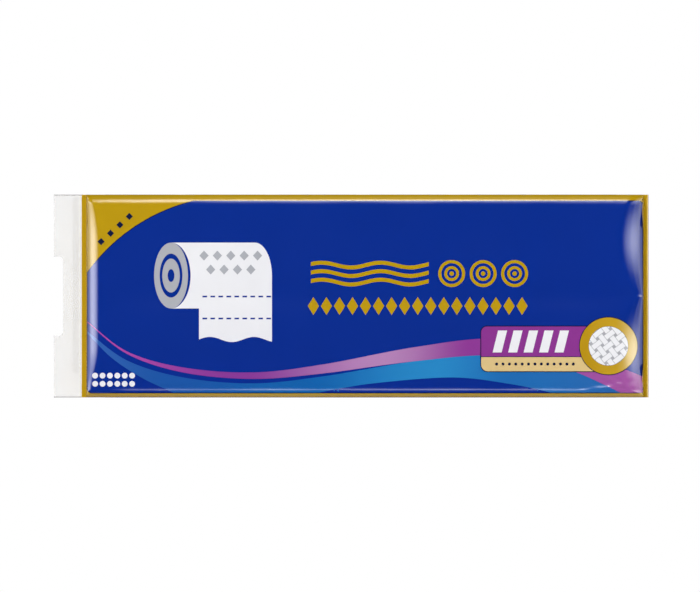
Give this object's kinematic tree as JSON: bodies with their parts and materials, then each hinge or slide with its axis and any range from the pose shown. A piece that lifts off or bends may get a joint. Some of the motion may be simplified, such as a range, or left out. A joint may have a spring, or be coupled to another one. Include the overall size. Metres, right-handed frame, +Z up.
{
  "type": "pack of toilet rolls",
  "caption": "Long film-wrapped pack of coreless toilet rolls with gusseted ends, one folded flat, the other with a clear handle film and a grip notch.",
  "frame": {"origin": "middle of the face the pack rests on, under the centre of the block of rolls", "axes": "+X along the pack, away from the handle; -Y out of the printed front; +Z up"},
  "size_m": [0.5956, 0.0932, 0.203],
  "materials": {
    "printed_film": "gloss",
    "clear_film": "satin"
  },
  "bodies": {
    "root": {"wrapped_rolls": "printed_film", "carry_handle": "clear_film"}
  },
  "joints": []
}
